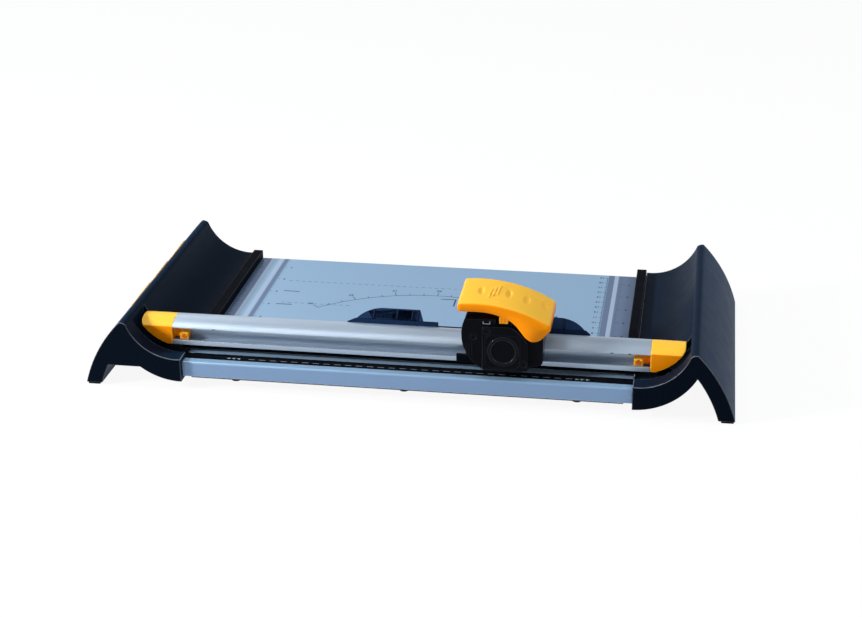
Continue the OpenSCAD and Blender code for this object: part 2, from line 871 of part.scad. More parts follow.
module carrier_cell() {
    translate([0, axis_z]) circle(r = plate_r + slide);
    translate([0, axis_z - drop]) circle(r = plate_r + slide);
    span(-plate_r - slide, plate_r + slide, axis_z - drop, axis_z);
    span(-stem_half - slide, stem_half + slide, axis_z, head_z1 + past);
}

module carriage_body() {
    color("#15161a") translate([head_x, 0, 0]) difference() {
        union() {
            along_y(head_y0, head_y1) head_outline();
            along_y(head_y1 - past, head_back) intersection() {
                head_outline();
                span(-head_r, head_r, channel_z1, head_z1);
            }
        }
        translate([0, crown_y, crown_z]) intersection() {
            rod_x_axis(crown_r + slide, -2 * head_r, 2 * head_r);
            block(-2 * head_r, 2 * head_r, head_y1 - crown_y, 2 * crown_r, -crown_r, 2 * crown_r);
        }
        along_y(cut_y - cell_front, cell_y1) blade_cell();
        along_y(head_y0 - past, cut_y) carrier_cell();
        block(-plunger_half - slide, plunger_half + slide, head_y0 - past, plunger_y1 + slide,
            plunger_z0 - drop - slide, head_z1 + past);
        block(-key_half - fit, key_half + fit, head_y1 - key_in, head_y1 + past,
            channel_z0 + slide - fit, channel_z1 - slide + fit);
        block(shoe_x[0] - past, shoe_x[1] + fit, shoe_y0 - fit, head_y1 + past, shoe_z[0] - fit,
            shoe_z[1] + fit);
        translate([pivot_dx, 0, pivot_z]) rod_y_axis(pin_r, head_y0 - past, head_back + past);
        translate([lever_x, lever_y, lever_seat])
            cylinder(r = lever_r + lever_wire / 2 + lever_room, h = head_z1);
        for (p = concat(cover_screw_at, [body_screw_at])) translate([p[0], 0, p[1]])
            rod_y_axis(screw_r, head_y0 - past, head_y0 + cover_screw_l);
        translate([body_screw_at[0], 0, body_screw_at[1]])
            rod_y_axis(cover_flare + screw_r + fit, head_y0 - past, head_y0 + head_h_of_screw);
    }
}

// The room that the pressed handle leaves in front of the head
module under_pressed_handle() {
    translate([pivot_dx, pivot_z]) rotate(press) translate([sweep_x - pivot_dx, sweep_z - pivot_z])
        circle(r = sweep_r - 2 * slide);
}

module cover_outline() {
    intersection() {
        head_outline();
        span(cover_x[0], cover_x[1], block_z0 - cover_foot, plunger_z0);
        difference() {
            union() {
                under_pressed_handle();
                span(sweep_x, cover_x[1], block_z0 - cover_foot, lobe_z - lobe_r - 3 * slide);
            }
            translate([lobe_x, lobe_z]) circle(r = lobe_r + 3 * slide);
        }
    }
}

module front_cover() {
    color("#0e0f12") translate([head_x, 0, 0]) difference() {
        union() {
            along_y(head_y0 - cover_t, head_y0) cover_outline();
            translate([0, 0, axis_z]) rod_y_axis(ring_r, head_y0 - cover_t - ring_up, head_y0);
        }
        translate([0, 0, axis_z]) rod_y_axis(ring_r - ring_w, head_y0 - cover_t - past,
            head_y0 - cover_t + ring_sink);
        for (p = cover_screw_at) translate([p[0], 0, p[1]]) {
            rod_y_axis(screw_r + fit, head_y0 - cover_t - past, head_y0 + past);
            rod_y_axis(cover_flare + screw_r + fit, head_y0 - cover_t - past,
                head_y0 - cover_t + head_h_of_screw);
        }
    }
}

// Screw of the head, its own head sunk below the given front face
module head_screw(at, face) {
    translate([at[0], face + head_h_of_screw, at[1]]) rotate([-90, 0, 0])
        countersunk(head_y0 + cover_screw_l - slide - face - head_h_of_screw, cover_flare);
}

module cover_screws() {
    color("#3a3d44") translate([head_x, 0, 0]) {
        for (p = cover_screw_at) head_screw(p, head_y0 - cover_t);
        head_screw(body_screw_at, head_y0);
    }
}

// Key behind the rail's lower lip, which keeps the head on the rail
module rail_key() {
    color("#2a2c31") translate([head_x, 0, 0]) {
        block(-key_half, key_half, head_y1 - key_in + fit, channel_y1 - slide,
            channel_z0 + slide, channel_z1 - slide);
        block(-key_half, key_half, lip_back + slide, channel_y1 - slide, undercut_z + slide,
            channel_z1 - slide);
    }
}

module rail_shoe() {
    color("#2a2c31") translate([head_x, 0, 0])
        block(shoe_x[0], shoe_x[1], shoe_y0, rail_y0 - slide, shoe_z[0], shoe_z[1]);
}

module pivot_pin() {
    color("silver") translate([head_x + pivot_dx, 0, pivot_z])
        rod_y_axis(pin_r, handle_y0 + pin_short, handle_y1 - pin_short);
}

module handle_spring() {
    color("silver") translate([head_x + lever_x, lever_y, lever_seat])
        coil(lever_r, lever_wire, lever_top - lever_seat, lever_turns);
}

module blade_carrier() {
    color("#303238") translate([head_x, 0, 0]) difference() {
        along_y(plate_y0, plate_y1) {
            translate([0, axis_z]) circle(r = plate_r);
            span(-stem_half, stem_half, axis_z, stem_z);
        }
        translate([0, 0, axis_z]) rod_y_axis(axle_r, plate_y0 - past, plate_y1 + past);
    }
}

module plunger() {
    color("orange") translate([head_x, 0, 0]) difference() {
        union() {
            block(-plunger_half, plunger_half, plate_y0, plunger_y1, stem_z, plunger_z);
            block(-plunger_half, plunger_half, plate_y1, plunger_y1, plunger_z0, stem_z);
        }
        for (x = [-groove_x, groove_x])
            block(x - groove_w / 2, x + groove_w / 2, plate_y0 - past, plate_y0 + groove_w, stem_z + past,
                plunger_z + past);
    }
}

module blade_axle() {
    color("silver") translate([head_x, 0, axis_z]) rod_y_axis(axle_r, plate_y0, clip_y1);
}

module axle_clip() {
    color("silver") translate([head_x, 0, axis_z]) difference() {
        rod_y_axis(clip_r, clip_y1 - clip_t, clip_y1);
        rod_y_axis(axle_r, clip_y1 - clip_t - past, clip_y1 + past);
    }
}

// Disc blade, ground to an edge on both sides
module blade() {
    color("lightgray") translate([head_x, cut_y, axis_z]) rotate([90, 0, 0]) rotate_extrude()
        polygon([[hub_r, -blade_t / 2], [blade_r - bevel_w, -blade_t / 2], [blade_r, 0],
            [blade_r - bevel_w, blade_t / 2], [hub_r, blade_t / 2]]);
}

module blade_hub() {
    color("white") translate([head_x, 0, axis_z]) difference() {
        rod_y_axis(hub_r, hub_y0, hub_y1);
        rod_y_axis(axle_r + running, hub_y0 - past, hub_y1 + past);
    }
}

// Handle in the x, z plane, with x measured from the blade's axis
module handle_outline() {
    difference() {
        span(-handle_left, handle_right, lobe_z, handle_z1 + handle_rise + past);
        span(-handle_left - past, sweep_x, 0, skirt_z);
        translate([sweep_x, sweep_z]) circle(r = sweep_r);
        translate([handle_right - corner_r, lobe_z + corner_r]) difference() {
            span(0, corner_r + past, -corner_r - past, 0);
            circle(r = corner_r);
        }
    }
    translate([lobe_x, lobe_z]) circle(r = lobe_r);
    polygon([[sweep_end, lobe_z], [lobe_x - lobe_r * cos(lobe_turn),
        lobe_z - lobe_r * sin(lobe_turn)], [lobe_x, lobe_z]]);
}

// Everything under the handle's long top curve, which climbs towards the back
module under_top(r) {
    translate([crest_x, handle_y0, handle_cz]) rotate([handle_tilt - 90, 0, 0])
        translate([0, 0, -handle_w]) cylinder(r = r, h = 3 * handle_w);
}

module handle() {
    color("orange") translate([head_x, 0, 0]) difference() {
        union() {
            difference() {
                intersection() {
                    along_y(handle_y0, handle_y1) handle_outline();
                    under_top(handle_r);
                }
                intersection() {
                    block(-handle_left + handle_t, handle_right - handle_t, handle_y0 + handle_t,
                        handle_y1 - handle_t, 0, handle_z1 + handle_rise);
                    under_top(handle_r - handle_t);
                }
            }
            block(-press_rib, press_rib, plate_y0, plunger_y1, plunger_z + 2 * slide,
                roof_at(press_rib, plate_y0, handle_t / 2));
        }
        translate([pivot_dx, 0, pivot_z]) rod_y_axis(pin_r + running, handle_y0 - past, handle_y1 + past);
    }
}

// Spare blade cartridge: a round case with the cheek's curve and a finger grip across its face
module spare_cartridge(i) {
    color("orange") {
        intersection() {
            at_spare(i) translate([0, 0, -spare_sink]) cylinder(r = spare_r, h = 3 * spare_sink);
            mirror([1, 0, 0]) along_y(spare_y[i] - spare_r - past, spare_y[i] + spare_r + past)
                outer_circle(spare_proud);
        }
        at_spare(i) translate([0, 0, spare_proud - grip_sink]) intersection() {
            translate([-spare_grip[1] / 2, -spare_grip[0] / 2, 0])
                cube([spare_grip[1], spare_grip[0], grip_sink + spare_grip[2]]);
            cylinder(r = spare_grip[0] / 2, h = grip_sink + spare_grip[2]);
        }
    }
}

bed_plate();
base_pan();
pan_screws();
cutting_strip();
left_cheek();
right_cheek();
left_fence();
right_fence();
base_screws();
front_tie_rod();
rear_tie_rod();
rubber_feet();
left_guide_post();
right_guide_post();
left_rail_spring();
right_rail_spring();
guide_rail();
left_rail_cap();
right_rail_cap();
cap_screws();
clamp_strip();
finger_guard();
guard_screws();
carriage_body();
front_cover();
cover_screws();
rail_key();
rail_shoe();
pivot_pin();
handle_spring();
blade_carrier();
plunger();
blade_axle();
axle_clip();
blade();
blade_hub();
handle();
spare_cartridge(0);  // spare_cartridge_1
spare_cartridge(1);  // spare_cartridge_2
spare_cartridge(2);  // spare_cartridge_3
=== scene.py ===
import math

import bmesh
import bpy
from mathutils import Matrix, Vector


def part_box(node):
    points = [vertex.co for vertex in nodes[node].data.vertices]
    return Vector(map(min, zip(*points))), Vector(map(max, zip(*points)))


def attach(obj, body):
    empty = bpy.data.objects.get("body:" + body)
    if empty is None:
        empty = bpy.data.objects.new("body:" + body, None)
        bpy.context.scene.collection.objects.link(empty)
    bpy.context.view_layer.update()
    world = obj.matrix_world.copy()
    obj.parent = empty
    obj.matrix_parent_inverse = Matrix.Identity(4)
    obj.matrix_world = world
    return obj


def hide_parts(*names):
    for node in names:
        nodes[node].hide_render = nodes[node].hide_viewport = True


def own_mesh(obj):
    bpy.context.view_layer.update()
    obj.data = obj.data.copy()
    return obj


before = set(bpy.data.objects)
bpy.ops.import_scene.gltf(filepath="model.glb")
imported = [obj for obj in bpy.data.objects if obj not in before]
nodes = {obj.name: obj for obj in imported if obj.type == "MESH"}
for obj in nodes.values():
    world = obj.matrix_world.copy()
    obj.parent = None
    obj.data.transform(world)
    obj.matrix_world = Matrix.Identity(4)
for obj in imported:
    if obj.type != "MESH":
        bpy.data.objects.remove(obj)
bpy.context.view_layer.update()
scene = bpy.context.scene
MM = 0.001


# Materials

# Sockets of a colour mix node
MIX_FACTOR, MIX_A, MIX_B, MIX_RESULT = 0, 6, 7, 2
# The middle of the noise, which is spread over the whole range of a value
NOISE_LOW, NOISE_HIGH = 0.3, 0.7
# Upward share of a normal where the painted top light begins and where it is full
UP_BEGINS, UP_FULL = 0.25, 0.9
TINT_DETAIL, GRAIN_DETAIL = 3.0, 2.0
LEAST_ROUGH = 0.02
SHEEN_ROUGH = 0.35
SHEEN_BLUE = (0.14, 0.38, 0.85, 1)


def shader(name):
    m = bpy.data.materials.new(name)
    m.use_nodes = True
    return m, m.node_tree, m.node_tree.nodes["Principled BSDF"]


def add_node(tree, kind, inputs=None, **props):
    n = tree.nodes.new(kind)
    for k, v in props.items():
        setattr(n, k, v)
    for k, v in (inputs or {}).items():
        n.inputs[k].default_value = v
    return n


def noise(tree, scale, stretch, detail):
    """Noise in the part's own frame, so the grain stays with the piece."""
    coords = add_node(tree, "ShaderNodeTexCoord")
    mapping = add_node(tree, "ShaderNodeMapping", {"Scale": stretch})
    tex = add_node(tree, "ShaderNodeTexNoise", {"Scale": scale, "Detail": detail})
    tree.links.new(coords.outputs["Object"], mapping.inputs["Vector"])
    tree.links.new(mapping.outputs["Vector"], tex.inputs["Vector"])
    return tex.outputs["Fac"]


def spread(tree, fac, low, high):
    """The noise as a value between low and high."""
    r = add_node(tree, "ShaderNodeMapRange", {"From Min": NOISE_LOW, "From Max": NOISE_HIGH,
                                              "To Min": low, "To Max": high})
    tree.links.new(fac, r.inputs["Value"])
    return r.outputs["Result"]


def drift(tree, fac, color, share):
    """The colour, a little darker and lighter by turns."""
    m = add_node(tree, "ShaderNodeMix", data_type="RGBA")
    m.inputs[MIX_A].default_value = (*[c * (1 - share) for c in color], 1)
    m.inputs[MIX_B].default_value = (*[min(1, c * (1 + share)) for c in color], 1)
    tree.links.new(fac, m.inputs[MIX_FACTOR])
    return m.outputs[MIX_RESULT]


def blend(tree, fac, a, b):
    m = add_node(tree, "ShaderNodeMix", data_type="RGBA")
    tree.links.new(fac, m.inputs[MIX_FACTOR])
    tree.links.new(a, m.inputs[MIX_A])
    tree.links.new(b, m.inputs[MIX_B])
    return m.outputs[MIX_RESULT]


def facing_up(tree):
    """Mask of the painted top light: one on sides that face upwards, nought on upright ones."""
    coords = add_node(tree, "ShaderNodeTexCoord")
    parts = add_node(tree, "ShaderNodeSeparateXYZ")
    r = add_node(tree, "ShaderNodeMapRange", {"From Min": UP_BEGINS, "From Max": UP_FULL},
                 interpolation_type="SMOOTHSTEP")
    tree.links.new(coords.outputs["Normal"], parts.inputs[0])
    tree.links.new(parts.outputs["Z"], r.inputs["Value"])
    return r.outputs["Result"]


def bump(tree, bsdf, fac, height):
    b = add_node(tree, "ShaderNodeBump", {"Distance": height, "Strength": 1.0})
    tree.links.new(fac, b.inputs["Height"])
    tree.links.new(b.outputs["Normal"], bsdf.inputs["Normal"])


def surface(name, color, rough, metallic=0.0, specular=0.5, tint=0.08, tint_scale=90.0,
            rough_by=0.06, grain=0.0, grain_scale=2500.0, stretch=(1, 1, 1), aniso=0.0, sheen=0.0,
            lit_top_color=None):
    """A finish with slow colour drift, uneven gloss and a fine grain.

    The colour for its upper sides is painted top light, lighter or yellower than its upright sides."""
    m, tree, bsdf = shader(name)
    slow = noise(tree, tint_scale, stretch, TINT_DETAIL)
    paint = drift(tree, slow, color, tint)
    # Upward sides blend into the painted top-light colour
    if lit_top_color:
        paint = blend(tree, facing_up(tree), paint, drift(tree, slow, lit_top_color, tint))
    tree.links.new(paint, bsdf.inputs["Base Color"])
    gloss = spread(tree, slow, max(LEAST_ROUGH, rough - rough_by), rough + rough_by)
    tree.links.new(gloss, bsdf.inputs["Roughness"])
    bsdf.inputs["Metallic"].default_value = metallic
    bsdf.inputs["Specular IOR Level"].default_value = specular
    bsdf.inputs["Anisotropic"].default_value = aniso
    bsdf.inputs["Sheen Weight"].default_value = sheen
    bsdf.inputs["Sheen Roughness"].default_value = SHEEN_ROUGH
    bsdf.inputs["Sheen Tint"].default_value = SHEEN_BLUE
    if grain:
        bump(tree, bsdf, noise(tree, grain_scale, stretch, GRAIN_DETAIL), grain)
    return m


CHEEK = surface("cheek_black", (0.0018, 0.0040, 0.0084), 0.40, specular=0.014, rough_by=0.03,
                sheen=0.30, grain=0.00002, grain_scale=1800)
# Lighter cheek edges, lighter still on upper rims: painted highlight
CHEEK_EDGE_HIGHLIGHT = surface("cheek_edge_highlight", (0.025, 0.030, 0.038), 0.30, specular=0.25, tint=0.45,
                     tint_scale=240, lit_top_color=(0.17, 0.20, 0.25))
# Upper sides paler and the upright lip darker and bluer: painted top light
BED = surface("bed_paint", (0.195, 0.305, 0.480), 0.38, metallic=0.30, specular=0.3, tint=0.12,
              tint_scale=3200, grain=0.00001, grain_scale=5000, lit_top_color=(0.275, 0.435, 0.620))
# Lighter edges of the bed sheet: painted highlight
BED_EDGE_HIGHLIGHT = surface("bed_edge_highlight", (0.42, 0.55, 0.72), 0.28, metallic=0.5, tint=0.14, tint_scale=300)
PAN = surface("pan_grey", (0.05, 0.05, 0.06), 0.55, grain=0.00002)
STRIP = surface("strip_black", (0.0024, 0.0036, 0.0060), 0.50, specular=0.01, grain=0.00003,
                grain_scale=2200)
# Lighter edges of the black strip, fences and head parts: painted highlight
STRIP_EDGE_HIGHLIGHT = surface("strip_edge_highlight", (0.008, 0.011, 0.016), 0.42, specular=0.05, tint=0.30,
                     tint_scale=300)
RUBBER = surface("foot_rubber", (0.006, 0.006, 0.006), 0.8, specular=0.15, grain=0.00006,
                 grain_scale=1400)
RAIL = surface("rail_aluminium", (0.42, 0.51, 0.62), 0.38, metallic=0.55, specular=0.3, tint=0.06,
               tint_scale=600, stretch=(0.02, 1, 1), grain=0.000004, grain_scale=2600,
               rough_by=0.05, aniso=0.5)
# Brighter rail edges: painted highlight
RAIL_EDGE_HIGHLIGHT = surface("rail_edge_highlight", (0.66, 0.73, 0.82), 0.26, metallic=0.9, tint=0.10, tint_scale=400,
                    stretch=(0.05, 1, 1))
# Tops yellow, upright sides orange: painted top light
YELLOW = surface("yellow_plastic", (0.92, 0.275, 0.0010), 0.24, specular=0.06, tint=0.03, tint_scale=40,
                 rough_by=0.04, grain=0.000005, grain_scale=2600, lit_top_color=(0.95, 0.52, 0.050))
# Paler yellow edges, rims and pips: painted highlight, paler still on top as painted top light
YELLOW_EDGE_HIGHLIGHT = surface("yellow_edge_highlight", (0.95, 0.46, 0.02), 0.22, specular=0.4, tint=0.05,
                      tint_scale=300, lit_top_color=(0.97, 0.60, 0.06))
ORANGE = surface("orange_screw", (0.55, 0.10, 0.003), 0.35, grain=0.00001)
SMOKE = surface("smoked_plastic", (0.011, 0.028, 0.076), 0.20, specular=0.04, tint=0.10)
SMOKE_EDGE = surface("smoked_edge", (0.003, 0.005, 0.010), 0.22, specular=0.05)
HEAD = surface("head_black", (0.0018, 0.0028, 0.0046), 0.10, specular=0.035, rough_by=0.03,
               grain=0.000006, grain_scale=900)
# Lighter edges of the head: painted highlight
HEAD_EDGE_HIGHLIGHT = surface("head_edge_highlight", (0.007, 0.010, 0.015), 0.16, specular=0.15, tint=0.30,
                    tint_scale=300)
STEEL = surface("steel", (0.56, 0.60, 0.65), 0.27, metallic=1.0, tint=0.08, grain=0.00001)
DARK = surface("dark_steel", (0.0028, 0.0034, 0.0046), 0.30, specular=0.06, tint=0.10,
               grain=0.00001)
BLADE = surface("blade_steel", (0.66, 0.69, 0.72), 0.20, metallic=1.0, tint=0.06, tint_scale=400,
                grain=0.000005)
HUB = surface("hub_white", (0.80, 0.80, 0.76), 0.40, grain=0.00001)
INK = surface("print_ink", (0.012, 0.020, 0.045), 0.45, specular=0.2, tint=0.25, tint_scale=900)
ZONE = surface("print_zone", (0.125, 0.185, 0.31), 0.40, metallic=0.30, specular=0.3, tint=0.08,
               tint_scale=3000)
LIGHT = surface("print_light", (0.37, 0.49, 0.65), 0.38, metallic=0.30, specular=0.3, tint=0.06,
                tint_scale=3000)
WHITE = surface("print_white", (0.33, 0.37, 0.41), 0.5, tint=0.20, tint_scale=700)

# Finish, finish of the edges (on most a lighter painted highlight), and the nodes that have them
FINISH = [
    (CHEEK, CHEEK_EDGE_HIGHLIGHT, ["left_cheek", "right_cheek"]),
    (BED, BED_EDGE_HIGHLIGHT, ["bed_plate"]),
    (PAN, PAN, ["base_pan"]),
    (RUBBER, RUBBER, ["rubber_feet"]),
    (STRIP, STRIP_EDGE_HIGHLIGHT, ["cutting_strip", "left_fence", "right_fence", "clamp_strip", "rail_key",
                         "rail_shoe", "blade_carrier"]),
    (RAIL, RAIL_EDGE_HIGHLIGHT, ["guide_rail"]),
    (ORANGE, ORANGE, ["cap_screws"]),
    (SMOKE, SMOKE_EDGE, ["finger_guard"]),
    (HEAD, HEAD_EDGE_HIGHLIGHT, ["carriage_body", "front_cover"]),
    (YELLOW, YELLOW_EDGE_HIGHLIGHT, ["left_rail_cap", "right_rail_cap", "plunger", "handle",
                           "spare_cartridge_1", "spare_cartridge_2", "spare_cartridge_3"]),
    (STEEL, STEEL, ["base_screws", "front_tie_rod", "rear_tie_rod", "guard_screws", "pivot_pin",
                    "blade_axle", "axle_clip"]),
    (DARK, DARK, ["cover_screws", "pan_screws", "left_guide_post", "right_guide_post",
                  "left_rail_spring", "right_rail_spring", "handle_spring"]),
    (BLADE, BLADE, ["blade"]),
    (HUB, HUB, ["blade_hub"]),
]
# Edge rounding of the carried-over nodes, in millimetres
ROUND = {
    "left_cheek": 0.5, "right_cheek": 0.5, "left_fence": 0.5, "right_fence": 0.5,
    "bed_plate": 0.3, "base_pan": 0.2, "cutting_strip": 0.15, "rubber_feet": 0.4,
    "guide_rail": 0.25, "left_rail_cap": 0.6, "right_rail_cap": 0.6, "clamp_strip": 0.3,
    "finger_guard": 0.25, "carriage_body": 0.3, "front_cover": 0.5, "rail_key": 0.3,
    "rail_shoe": 0.4, "plunger": 0.25, "blade_carrier": 0.2, "pivot_pin": 0.2,
    "spare_cartridge_1": 0.4, "spare_cartridge_2": 0.4, "spare_cartridge_3": 0.4,
    "base_screws": 0.15, "pan_screws": 0.15, "cover_screws": 0.15, "guard_screws": 0.15,
}
# Rounded after a merge of its flat faces, the body crosses the lowered blade
UNMERGED = ("carriage_body",)
SHARP = math.radians(55)
FLAT = math.radians(0.5)
WELD_GAP = 1e-5
ROUND_STEPS = 3
# Material slot of the edges, which carry the painted edge highlight
EDGE_HIGHLIGHT_SLOT = 1


def dress_nodes():
    for main, edge, names in FINISH:
        for name in names:
            node = nodes[name]
            node.data.materials.clear()
            node.data.materials.append(main)
            node.data.materials.append(edge)
            if name in ROUND:
                weld = node.modifiers.new("weld", "WELD")
                weld.merge_threshold = WELD_GAP
                if name not in UNMERGED:
                    merge = node.modifiers.new("merge", "DECIMATE")
                    merge.decimate_type = "DISSOLVE"
                    merge.angle_limit = FLAT
                bevel = node.modifiers.new("bevel", "BEVEL")
                bevel.width = ROUND[name] * MM
                bevel.segments = ROUND_STEPS
                bevel.use_clamp_overlap = False
                bevel.limit_method = "ANGLE"
                bevel.angle_limit = SHARP
                # Bevel faces take the edge finish, a lighter painted highlight on most nodes
                bevel.material = EDGE_HIGHLIGHT_SLOT
                normals = node.modifiers.new("normals", "WEIGHTED_NORMAL")
                normals.keep_sharp = False


# Mesh helpers, in millimetres

# Edges turning more than this many degrees stay sharp, on wires and trim, and on the handle
TRIM_SMOOTH, HANDLE_SMOOTH = 40, 60
DIGIT_WEIGHT, DIGIT_STEPS = 0.06, 2


def finish_piece(name, bm, mat, body, smooth=None):
    bmesh.ops.recalc_face_normals(bm, faces=bm.faces)
    mesh = bpy.data.meshes.new(name)
    bm.to_mesh(mesh)
    bm.free()
    mesh.transform(Matrix.Scale(MM, 4))
    mesh.materials.append(mat)
    obj = bpy.data.objects.new(name, mesh)
    scene.collection.objects.link(obj)
    if smooth is not None:
        mesh.shade_smooth()
        mesh.set_sharp_from_angle(angle=math.radians(smooth))
    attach(obj, body)
    return obj


def prism(bm, outline, z0, z1):
    """A closed prism on a flat outline of x, y points."""
    low = [bm.verts.new((x, y, z0)) for x, y in outline]
    high = [bm.verts.new((x, y, z1)) for x, y in outline]
    bm.faces.new(low[::-1])
    bm.faces.new(high)
    n = len(outline)
    for i in range(n):
        j = (i + 1) % n
        bm.faces.new((low[i], low[j], high[j], high[i]))


def rect(bm, x0, x1, y0, y1, z0, z1):
    prism(bm, [(x0, y0), (x1, y0), (x1, y1), (x0, y1)], z0, z1)


def tick(bm, x0, x1, y, half, z):
    """A line across the bed, centred on y."""
    rect(bm, x0, x1, y - half, y + half, *z)


def stroke(bm, a, b, w, z0, z1):
    d = Vector((b[0] - a[0], b[1] - a[1])).normalized()
    n = Vector((-d.y, d.x)) * w / 2
    a, b = Vector(a), Vector(b)
    prism(bm, [tuple(a - n), tuple(b - n), tuple(b + n), tuple(a + n)], z0, z1)


def digits(bm, text, x, y, size, z0, z1):
    """A printed number, read from the bed's rear side."""
    curve = bpy.data.curves.new("digits", "FONT")
    curve.body = text
    curve.size = size
    curve.offset = DIGIT_WEIGHT
    curve.align_x = "CENTER"
    curve.align_y = "CENTER"
    curve.extrude = (z1 - z0) / 2
    curve.resolution_u = DIGIT_STEPS
    temp = bpy.data.objects.new("digits", curve)
    scene.collection.objects.link(temp)
    bpy.context.view_layer.update()
    shown = temp.evaluated_get(bpy.context.evaluated_depsgraph_get())
    mesh = bpy.data.meshes.new_from_object(shown)
    mesh.transform(Matrix.Translation((x, y, (z0 + z1) / 2)) @ Matrix.Rotation(math.pi, 4, "Z"))
    bm.from_mesh(mesh)
    bpy.data.objects.remove(temp)
    bpy.data.curves.remove(curve)
    bpy.data.meshes.remove(mesh)


# Bed print

BED_Z = 20.0
CUT_Y = -91.75
FENCE_Y0, BED_Y1 = -63.9, 103.9
# Each layer of print starts a little inside the bed
SUNK = 0.02
ZONE_Z = (BED_Z - SUNK, BED_Z + 0.015)
LINE_Z = (BED_Z - SUNK, BED_Z + 0.025)
DASH_Z = (BED_Z - SUNK, BED_Z + 0.03)
INK_Z = (BED_Z - SUNK, BED_Z + 0.04)
CM, INCH = 10, 25.4
CM_MARKS, INCH_MARKS = range(3, 20), range(2, 8)
FINE = 0.2

ZONES_X = ((128.5, 149.9), (-132.0, -128.5), (-149.9, -141.0))
LINES_X = ((133.0, 136.2), (-136.2, -133.0), (-142.6, -140.2))
# Light centimetre scale at the left fence
PALE_X, PALE_LONG_X, PALE_SHORT_X = -149.0, -145.8, -147.2


def bed_zones():
    bm = bmesh.new()
    for x0, x1 in ZONES_X:
        rect(bm, x0, x1, FENCE_Y0, BED_Y1, *ZONE_Z)
    finish_piece("bed_zones", bm, ZONE, "base")
    bm = bmesh.new()
    for x0, x1 in LINES_X:
        rect(bm, x0, x1, FENCE_Y0, BED_Y1, *LINE_Z)
    for i in CM_MARKS:
        y = CUT_Y + CM * i
        tick(bm, PALE_X, PALE_LONG_X, y, FINE, INK_Z)
        if i < CM_MARKS[-1]:
            tick(bm, PALE_X, PALE_SHORT_X, y + CM / 2, FINE, INK_Z)
    finish_piece("bed_light_lines", bm, LIGHT, "base")


ARC_X, ARC_Y, ARC_R = 1.5, -78.0, 121.0
ARC_LINE = 0.5
ARC_END, ARC_STEP, ARC_LONG_STEP = 45, 5, 15
ARC_LONG, ARC_SHORT = 6.5, 2.8
ARC_TEXT_OUT, ARC_TEXT = 10, 4.0


def protractor(bm):
    def at(a, d):
        return ARC_X + d * math.sin(math.radians(a)), ARC_Y + d * math.cos(math.radians(a))

    for a in range(-ARC_END, ARC_END):
        stroke(bm, at(a, ARC_R), at(a + 1, ARC_R), ARC_LINE, *INK_Z)
    for a in range(-ARC_END, ARC_END + 1, ARC_STEP):
        long = a % ARC_LONG_STEP == 0
        out = ARC_R + (ARC_LONG if long else ARC_SHORT)
        stroke(bm, at(a, ARC_R), at(a, out), ARC_LINE, *INK_Z)
        if long:
            text = str(abs(a)) if a else "90"
            digits(bm, text, *at(a, ARC_R + ARC_TEXT_OUT), ARC_TEXT, *INK_Z)


# Centimetres at the right, read towards the left from the scale's edge
CM_X, CM_LONG_X, CM_TEXT_X, CM_TEXT = 128.2, 126.2, 123.4, 3.6
CM_HALF, MM_HALF = 0.26, 0.18
MM_MID, MM_SHORT = 1.3, 0.8
# Inches at the right, and smaller ones at the left
INCH_X, INCH_LONG_X, INCH_TEXT_X, INCH_TEXT = 137.4, 141.2, 144.9, 4.2
LEFT_X, LEFT_LONG_X, LEFT_TEXT_X, LEFT_TEXT = -128.2, -126.0, -122.6, 3.6
EIGHTHS, EIGHTH_HALF = 8, 0.15
EIGHTH_MID, EIGHTH_SHORT = 2.6, 1.6
LEFT_SHARE = 0.6
BED_MARGIN = 0.5


def rulers(bm):
    for i in CM_MARKS:
        y = CUT_Y + CM * i
        tick(bm, CM_LONG_X, CM_X, y, CM_HALF, INK_Z)
        digits(bm, str(i), CM_TEXT_X, y, CM_TEXT, *INK_Z)
        if i < CM_MARKS[-1]:
            for k in range(1, CM):
                w = MM_MID if k == CM // 2 else MM_SHORT
                tick(bm, CM_X - w, CM_X, y + k, MM_HALF, INK_Z)
    for i in INCH_MARKS:
        y = CUT_Y + INCH * i
        tick(bm, INCH_X, INCH_LONG_X, y, FINE, INK_Z)
        digits(bm, str(i), INCH_TEXT_X, y, INCH_TEXT, *INK_Z)
        digits(bm, str(i), LEFT_TEXT_X, y, LEFT_TEXT, *INK_Z)
        tick(bm, LEFT_X, LEFT_LONG_X, y, FINE, INK_Z)
        for k in range(1, EIGHTHS):
            yk = y + INCH / EIGHTHS * k
            if yk < BED_Y1 - BED_MARGIN:
                w = EIGHTH_MID if k == EIGHTHS // 2 else EIGHTH_SHORT
                tick(bm, INCH_X, INCH_X + w, yk, EIGHTH_HALF, INK_Z)
                tick(bm, LEFT_X, LEFT_X + w * LEFT_SHARE, yk, EIGHTH_HALF, INK_Z)


# Dashed guide lines: y, and where they start and end
GUIDES = ((58.3, -118, 40), (14.2, -114, -62))
GUIDE_DASH, GUIDE_PITCH = 2.6, 5.0
BAR_X, BAR_Y, BAR_HALF = (-117, -105), (36.9, 10.5), 0.5
# The two arms of the corner mark: x0, x1, y0, y1
CORNER = ((5, 17, 36.5, 37.5), (16, 17, 24, 36.5))


def bed_print():
    bm = bmesh.new()
    protractor(bm)
    for y, x0, x1 in GUIDES:
        x = x0
        while x < x1:
            tick(bm, x, x + GUIDE_DASH, y, FINE, INK_Z)
            x += GUIDE_PITCH
    for y in BAR_Y:
        tick(bm, *BAR_X, y, BAR_HALF, INK_Z)
    for arm in CORNER:
        rect(bm, *arm, *INK_Z)
    rulers(bm)
    finish_piece("bed_print", bm, INK, "base")


